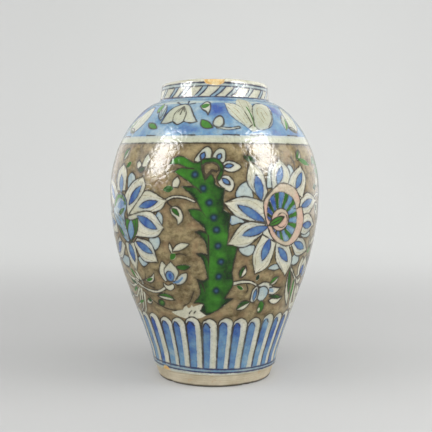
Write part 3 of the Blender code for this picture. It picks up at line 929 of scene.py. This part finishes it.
CREAM_DARK = srgb(193, 192, 168)
CREAM_LIGHT = srgb(218, 215, 194)
CREAM_ON_SHOULDER = srgb(160, 170, 146)
CREAM_BESIDE_BLUE = srgb(158, 178, 200)
BROWN_DARK = srgb(86, 72, 40)
BROWN_LIGHT = srgb(162, 146, 106)
BROWN_WARM = srgb(150, 118, 86)
# Paler brown painted near the pot's sides as a reflection of light
BROWN_PAINTED_SHEEN = srgb(190, 178, 152)
BROWN_BESIDE_LINES = srgb(78, 66, 40)
GREEN_LIGHT = srgb(58, 130, 26)
GREEN_DARK = srgb(0, 38, 0)
GREEN_BESIDE_DOTS = srgb(10, 62, 22)
DOT_MIDDLE = srgb(44, 78, 112)
DOT_RIM = srgb(8, 46, 48)
BLUE_PALE = srgb(184, 196, 190)
BLUE_MIDDLE = srgb(107, 148, 178)
BLUE_DEEP = srgb(32, 75, 150)
PINK_PALE = srgb(200, 186, 162)
PINK_WARM = srgb(208, 174, 154)
INK_BROWN = srgb(42, 34, 22)
INK_BLUE = srgb(38, 48, 92)
INK_BLEED = srgb(70, 66, 50)
SPECKLE = srgb(116, 108, 88)
CRAZING = srgb(92, 82, 64)
BARE_DARK = srgb(212, 168, 98)
BARE_LIGHT = srgb(234, 212, 160)
CLAY_SPECK = srgb(110, 88, 66)
# Grime and painted contact shadow at the foot's standing edge
GRIME_AND_CONTACT_SHADOW = srgb(52, 46, 36)
LINING_DARK = srgb(196, 190, 168)
LINING_LIGHT = srgb(218, 213, 195)
LINING_STAIN = srgb(168, 146, 112)
LINING_CRAZING = srgb(110, 94, 72)


# Materials
class Shader:
    """A material's node graph, built from short calls."""

    def __init__(self, name):
        self.material = bpy.data.materials.new(name)
        self.material.use_nodes = True
        self.tree = self.material.node_tree
        self.principled = self.tree.nodes["Principled BSDF"]
        self.coordinates = self.tree.nodes.new("ShaderNodeTexCoord").outputs["Object"]

    def connect(self, socket, value):
        if isinstance(value, bpy.types.NodeSocket):
            self.tree.links.new(value, socket)
        else:
            socket.default_value = value

    def add(self, kind, output, **values):
        """A new node with inputs set or linked by name, as one of its outputs."""
        node = self.tree.nodes.new("ShaderNode" + kind)
        for label, value in values.items():
            self.connect(node.inputs[label], value)
        return node.outputs[output]

    def position(self, axis):
        return self.add("SeparateXYZ", axis, Vector=self.coordinates)

    def attribute(self, name):
        node = self.tree.nodes.new("ShaderNodeAttribute")
        node.attribute_name = name
        return node.outputs["Fac"]

    def noise(self, size_mm, detail=3.0, roughness=0.55, stretch=(1.0, 1.0, 1.0)):
        mapped = self.add("Mapping", "Vector", Vector=self.coordinates, Scale=stretch)
        return self.add("TexNoise", "Fac", Vector=mapped, Scale=1.0 / (size_mm * MM), Detail=detail,
                        Roughness=roughness)

    def cracks(self, size_mm):
        node = self.tree.nodes.new("ShaderNodeTexVoronoi")
        node.feature = "DISTANCE_TO_EDGE"
        self.tree.links.new(self.coordinates, node.inputs["Vector"])
        node.inputs["Scale"].default_value = 1.0 / (size_mm * MM)
        return node.outputs["Distance"]

    def math(self, operation, a, b=0.0):
        node = self.tree.nodes.new("ShaderNodeMath")
        node.operation = operation
        self.connect(node.inputs[0], a)
        self.connect(node.inputs[1], b)
        return node.outputs[0]

    def total(self, *terms):
        """Sum of socket and weight pairs."""
        value = 0.0
        for socket, weight in terms:
            value = self.math("ADD", self.math("MULTIPLY", socket, weight), value)
        return value

    def spread(self, value, low, high, out_low=0.0, out_high=1.0, smooth=True):
        """A value between low and high, moved to a new range and held at its ends."""
        node = self.tree.nodes.new("ShaderNodeMapRange")
        node.interpolation_type = "SMOOTHSTEP" if smooth else "LINEAR"
        self.connect(node.inputs["Value"], value)
        limits = {"From Min": low, "From Max": high, "To Min": out_low, "To Max": out_high}
        for label, number in limits.items():
            node.inputs[label].default_value = number
        return node.outputs["Result"]

    def mix(self, factor, a, b):
        node = self.tree.nodes.new("ShaderNodeMix")
        node.data_type = "RGBA"
        self.connect(node.inputs[0], factor)
        self.connect(node.inputs[6], a)
        self.connect(node.inputs[7], b)
        return node.outputs[2]

    def bump(self, height, strength, distance_mm):
        normal = self.add("Bump", "Normal", Strength=strength, Distance=distance_mm * MM, Height=height)
        self.connect(self.principled.inputs["Normal"], normal)

    def finish(self, colour, roughness):
        self.connect(self.principled.inputs["Base Color"], colour)
        self.connect(self.principled.inputs["Roughness"], roughness)
        return self.material


def glaze_material():
    """Painted ground under clear glaze: washes, ink lines, bleeding, crazing and broken shine.

    Pairs of heights, in metres, say where its colours change up the pot.
    """
    look = Shader("painted_glaze_look")
    coarse = look.noise(4.0, 2.0)
    fine = look.noise(1.3, 2.0)
    cloud = look.noise(20.0, 3.0)
    mottle = look.noise(6.0, 4.0, 0.65)
    brushed = look.noise(26.0, 4.0, 0.6, (1.0, 1.0, 3.0))
    height = look.position("Z")
    off_foot, onto_shoulder, off_shoulder = (0.02, 0.03), (0.216, 0.224), (0.268, 0.284)
    end_of_run, onto_neck = (0.268, 0.28), (0.27, 0.28)
    tone = look.attribute("tone")
    ink_distance = look.attribute("ink")
    blue_distance = look.attribute("blue")
    dot_distance = look.attribute("teal")
    wander = look.spread(coarse, 0.2, 0.8, -0.5, 0.5, smooth=False)
    press = look.spread(mottle, 0.3, 0.7, -0.5, 0.5, smooth=False)
    drift = look.spread(cloud, 0.3, 0.7, -1.0, 1.0, smooth=False)

    def mask(name, soft, sway):
        edge = look.total((look.attribute(name), 1.0), (wander, sway))
        return look.spread(edge, -soft, soft, 1.0, 0.0)

    def depth(cloudy):
        return look.total((tone, 1.0), (press, cloudy), (drift, cloudy))

    cream = look.mix(look.spread(cloud, 0.3, 0.7), CREAM_DARK, CREAM_LIGHT)
    below_neck = look.spread(height, *off_shoulder, 0.5, 0.0)
    on_shoulder = look.math("MULTIPLY", look.spread(height, *onto_shoulder), below_neck)
    cream = look.mix(on_shoulder, cream, CREAM_ON_SHOULDER)
    blue_run = look.math("MULTIPLY", look.spread(blue_distance, 0.0, 4.0, 0.35, 0.0),
                       look.spread(height, *end_of_run, 1.0, 0.2))
    cream = look.mix(blue_run, cream, CREAM_BESIDE_BLUE)
    wash = look.total((mottle, 0.5), (brushed, 0.5))
    brown = look.mix(look.spread(wash, 0.36, 0.62), BROWN_DARK, BROWN_LIGHT)
    brown = look.mix(look.spread(look.noise(13.0, 3.0), 0.45, 0.7, 0.0, 0.5), brown, BROWN_WARM)
    # Painted reflection: the brown turns paler where its tone was lowered near the pot's sides
    brown = look.mix(look.spread(tone, 0.1, 0.5, 0.5, 0.0), brown, BROWN_PAINTED_SHEEN)
    brown = look.mix(look.spread(ink_distance, 0.5, 4.0, 0.35, 0.0), brown, BROWN_BESIDE_LINES)
    green = look.mix(look.spread(depth(0.4), 0.0, 1.0, smooth=False), GREEN_LIGHT, GREEN_DARK)
    green = look.mix(look.spread(dot_distance, 0.0, 2.6, 0.6, 0.0), green, GREEN_BESIDE_DOTS)
    teal = look.mix(look.spread(dot_distance, -2.9, -0.9), DOT_MIDDLE, DOT_RIM)
    blue_depth = look.total((depth(0.25), 1.0), (look.spread(blue_distance, -1.6, 0.0), 0.12))
    blue = look.mix(look.spread(blue_depth, 0.0, 0.5, smooth=False), BLUE_PALE, BLUE_MIDDLE)
    blue = look.mix(look.spread(blue_depth, 0.5, 1.0, smooth=False), blue, BLUE_DEEP)
    pink = look.mix(look.spread(cloud, 0.4, 0.6), PINK_PALE, PINK_WARM)
    bare = look.mix(look.spread(mottle, 0.4, 0.6), BARE_DARK, BARE_LIGHT)

    colour = look.mix(mask("brown", 0.35, 0.6), cream, brown)
    colour = look.mix(mask("pink", 0.4, 0.6), colour, pink)
    colour = look.mix(mask("blue", 0.45, 0.7), colour, blue)
    colour = look.mix(look.spread(look.noise(2.2, 5.0, 0.7), 0.48, 0.68, 0.0, 0.3), colour, SPECKLE)
    colour = look.mix(mask("green", 0.35, 0.6), colour, green)
    colour = look.mix(mask("teal", 0.9, 1.2), colour, teal)
    line_edge = look.total((ink_distance, 1.0), (wander, 0.3), (press, 0.7))
    line_strength = look.math("MULTIPLY", look.spread(line_edge, -0.25, 0.3, 1.0, 0.0),
                            look.spread(cloud, 0.3, 0.6, 0.75, 0.95))
    bluish = look.math("MAXIMUM", look.spread(height, *off_foot, 0.8, 0.0),
                     look.spread(height, *onto_neck, 0.0, 0.5))
    colour = look.mix(look.spread(line_edge, 0.0, 1.6, 0.2, 0.0), colour, INK_BLEED)
    colour = look.mix(line_strength, colour, look.mix(bluish, INK_BROWN, INK_BLUE))
    colour = look.mix(mask("bare", 0.8, 1.6), colour, bare)
    crack = look.cracks(6.5)
    colour = look.mix(look.spread(crack, 0.0, 0.035, 0.16, 0.0), colour, CRAZING)
    groove = look.spread(crack, 0.0, 0.12)
    flake = look.spread(crack, 0.0, 0.5)
    look.bump(look.total((coarse, 0.8), (fine, 0.15), (groove, 0.2), (flake, 0.7)), 1.0, 0.16)
    look.principled.inputs["IOR"].default_value = 1.45
    return look.finish(colour, look.spread(cloud, 0.2, 0.8, 0.05, 0.10))


def clay_material(name, dark, light, wear, grime_and_shadow_height=0.0):
    """Bare fired clay with specks, worn patches, and grime with painted contact shadow darkening the edge it
    stands on.
    """
    look = Shader(name)
    grain = look.noise(1.2, 4.0, 0.7)
    patch = look.noise(16.0, 3.0)
    colour = look.mix(look.spread(patch, 0.3, 0.7), dark, light)
    colour = look.mix(look.spread(look.noise(9.0, 4.0), 0.58, 0.72, 0.0, 0.7), colour, wear)
    colour = look.mix(look.spread(grain, 0.62, 0.74, 0.0, 0.55), colour, CLAY_SPECK)
    # Painted shade and grime: the clay darkens towards the edge it stands on, in place of a contact shadow
    if grime_and_shadow_height:
        level = look.total((look.position("Z"), 1.0), (patch, 1.2 * MM))
        grime_and_shadow = look.spread(level, 0.8 * grime_and_shadow_height, 1.6 * grime_and_shadow_height, 0.9, 0.0)
        colour = look.mix(grime_and_shadow, colour, GRIME_AND_CONTACT_SHADOW)
    look.bump(grain, 0.5, 0.4)
    return look.finish(colour, look.spread(patch, 0.2, 0.8, 0.7, 0.9))


def lining_material():
    """Plain glazed lining with staining."""
    look = Shader("lining_glaze_look")
    cloud = look.noise(30.0, 4.0)
    colour = look.mix(look.spread(cloud, 0.3, 0.7), LINING_DARK, LINING_LIGHT)
    colour = look.mix(look.spread(look.noise(14.0, 5.0), 0.56, 0.75, 0.0, 0.5), colour, LINING_STAIN)
    colour = look.mix(look.spread(look.cracks(8.0), 0.0, 0.04, 0.3, 0.0), colour, LINING_CRAZING)
    look.bump(look.noise(6.0, 2.0), 0.25, 0.4)
    return look.finish(colour, look.spread(cloud, 0.2, 0.8, 0.14, 0.28))


# Pieces that show, and finishes for the solids behind them
painted_pieces(glaze_material())
foot_finish = clay_material("foot_clay_look", dark=srgb(184, 171, 143), light=srgb(204, 193, 168),
                            wear=srgb(190, 150, 106), grime_and_shadow_height=2.4 * MM)
add_piece("foot_clay", foot_mesh(), foot_finish, "bare_clay", "foot_ring", "foot_lute")
lining_points = lathe_points(lining_profile(), LINING_SEGMENTS)
lining_mesh = grid_mesh("lining", lining_points[:, ::-1], closed=True)
add_piece("lining", lining_mesh, lining_material(), "lining_glaze", "inner_glaze")
body_finish = clay_material("body_clay_look", dark=srgb(176, 140, 104), light=srgb(200, 166, 130),
                            wear=srgb(170, 120, 80))
slip_finish = clay_material("slip_look", dark=srgb(196, 182, 158), light=srgb(212, 200, 180),
                            wear=srgb(186, 164, 136))
for node, finish in (("lower_bowl", body_finish), ("upper_bowl", body_finish), ("neck_collar", body_finish),
                     ("belly_lute", slip_finish), ("neck_lute", slip_finish)):
    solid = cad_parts[node]
    solid.data.materials.clear()
    solid.data.materials.append(finish)

# Floor, backdrop, light and camera, in metres
SURROUNDINGS_COLOUR = (0.995, 1.0, 0.995, 1.0)
SURROUNDINGS_LIGHT = 0.40
SURROUNDINGS_SEEN = 0.70
BLACK = (0.0, 0.0, 0.0, 1.0)


def seen_share(tree):
    """1 for rays that show the background, straight or by reflection, 0 for rays that light the pot."""
    path = tree.nodes.new("ShaderNodeLightPath")
    share = path.outputs["Is Camera Ray"]
    for label in ("Is Glossy Ray", "Is Transmission Ray"):
        either = tree.nodes.new("ShaderNodeMath")
        either.operation = "MAXIMUM"
        tree.links.new(share, either.inputs[0])
        tree.links.new(path.outputs[label], either.inputs[1])
        share = either.outputs[0]
    return share


def backdrop_material():
    """Pale floor and wall, with painted light: a little paler at the right and towards the wall; they fade
    into the surroundings far off.
    """
    look = Shader("backdrop_look")
    x, y = look.position("X"), look.position("Y")
    wall_share = look.spread(y, 0.25, 1.1)
    right_share = look.spread(x, -0.5, 0.5)
    # Painted light: floor and wall are paler at the right, and the wall paler than the floor, as the light
    # falls
    floor_colour = look.mix(right_share, srgb(174, 174, 173), srgb(182, 182, 181))
    wall_colour = look.mix(right_share, srgb(199, 200, 198), srgb(206, 207, 205))
    near_colour = look.mix(wall_share, floor_colour, wall_colour)
    away = look.math("MAXIMUM", look.math("ABSOLUTE", x), look.math("MULTIPLY", y, -1.0))
    fade_start, fade_end = 0.45, 1.1
    far_share = look.spread(away, fade_start, fade_end)
    near_share = look.spread(away, fade_start, fade_end, 1.0, 0.0)
    near_glow = look.spread(wall_share, 0.0, 1.0, 0.09, 0.25, smooth=False)
    glow = look.math("ADD", look.math("MULTIPLY", near_glow, near_share),
                   look.math("MULTIPLY", far_share, SURROUNDINGS_SEEN))
    seen = seen_share(look.tree)
    look.principled.inputs["Emission Color"].default_value = SURROUNDINGS_COLOUR
    look.connect(look.principled.inputs["Emission Strength"], look.math("MULTIPLY", glow, seen))
    look.connect(look.principled.inputs["Specular IOR Level"], look.math("MULTIPLY", near_share, 0.5))
    return look.finish(look.mix(look.math("MULTIPLY", far_share, seen), near_colour, BLACK), 0.85)


def backdrop():
    """A seamless sweep of floor, soft bend and wall."""
    depth, bend, rise, reach = 1.6, 0.7, 2.6, 6.0
    corner = arc((depth - bend, bend), bend, -math.pi / 2, 0.0, 24)
    line = np.concatenate([[(-reach, 0.0), (0.0, 0.0)], corner, [(depth, rise)]])
    across = np.linspace(-reach, reach, 13)
    points = np.array([[(x, y, z) for x in across] for y, z in line]) / MM
    mesh = grid_mesh("backdrop", points)
    mesh.materials.append(backdrop_material())
    sweep = bpy.data.objects.new("backdrop", mesh)
    bpy.context.scene.collection.objects.link(sweep)


def softbox(name, azimuth, elevation, width, height, power, lights=True, shines=True, distance=1.3):
    """An area light aimed at the pot; azimuth 0 is the camera's side, positive to the right."""
    light = bpy.data.lights.new(name, "AREA")
    light.shape = "RECTANGLE"
    light.size = width
    light.size_y = height
    light.energy = power
    lamp = bpy.data.objects.new(name, light)
    a, e = math.radians(azimuth), math.radians(elevation)
    aim_share = 0.6
    target = np.array([0.0, 0.0, HEIGHT * MM * aim_share])
    offset = np.array([math.sin(a) * math.cos(e), -math.cos(a) * math.cos(e), math.sin(e)])
    lamp.location = target + offset * distance
    lamp.rotation_euler = (math.pi / 2 - e, 0.0, a)
    lamp.visible_camera = False
    lamp.visible_diffuse = lights
    lamp.visible_glossy = shines
    bpy.context.scene.collection.objects.link(lamp)


def surroundings():
    """A pale world, paler where it is seen than where it lights the pot."""
    world = bpy.data.worlds.new("studio")
    world.use_nodes = True
    nodes, links = world.node_tree.nodes, world.node_tree.links
    level = nodes.new("ShaderNodeMapRange")
    level.inputs["To Min"].default_value = SURROUNDINGS_LIGHT
    level.inputs["To Max"].default_value = SURROUNDINGS_SEEN
    nodes["Background"].inputs["Color"].default_value = SURROUNDINGS_COLOUR
    links.new(seen_share(world.node_tree), level.inputs["Value"])
    links.new(level.outputs["Result"], nodes["Background"].inputs["Strength"])
    bpy.context.scene.world = world


def lamps():
    """Softboxes that light the pot, and cards that only shine in its glaze, some nested to fade outwards."""
    softbox("left_softbox", -78, 30, 0.9, 1.1, 5.8)
    softbox("right_softbox", 78, 27, 0.9, 1.1, 8.5)
    softbox("top_softbox", 0, 80, 1.2, 1.2, 2.8)
    softbox("front_fill", 0, 22, 1.6, 1.0, 9.2, shines=False)
    card_height = 0.9
    for size, strength, distance in ((0.7, 34.0, 1.26), (1.0, 18.0, 1.3), (1.35, 6.0, 1.34)):
        for side, azimuth, elevation, card_width in (("left", -62, 30, 0.56), ("right", 58, 32, 0.7)):
            width, height = card_width * size, card_height * size
            softbox(f"{side}_card_{size}", azimuth, elevation, width, height, strength * width * height,
                    lights=False, distance=distance)
    rim_elevation, rim_width, rim_height, rim_strength = 20, 0.95, 1.3, 3.3
    rim_power = rim_strength * rim_width * rim_height
    for side, azimuth in (("left", -132), ("right", 132)):
        softbox(f"{side}_rim_card", azimuth, rim_elevation, rim_width, rim_height, rim_power, lights=False)


def camera():
    """The photograph's view: upright, a little above the middle of the pot, looking slightly down."""
    distance, eye_height, side = 0.830, 0.2216, 0.0015
    pitch = math.radians(3.91)
    focal_px, frame_px, sensor_mm = 798.8, 432.0, 36.0
    lens = bpy.data.cameras.new("camera")
    lens.sensor_width = sensor_mm
    lens.lens = focal_px / frame_px * sensor_mm
    eye = bpy.data.objects.new("camera", lens)
    eye.location = (side, -distance, eye_height)
    eye.rotation_euler = (math.pi / 2 - pitch, 0.0, 0.0)
    bpy.context.scene.collection.objects.link(eye)
    bpy.context.scene.camera = eye


backdrop()
surroundings()
lamps()
camera()
bpy.context.scene.view_settings.view_transform = "Standard"
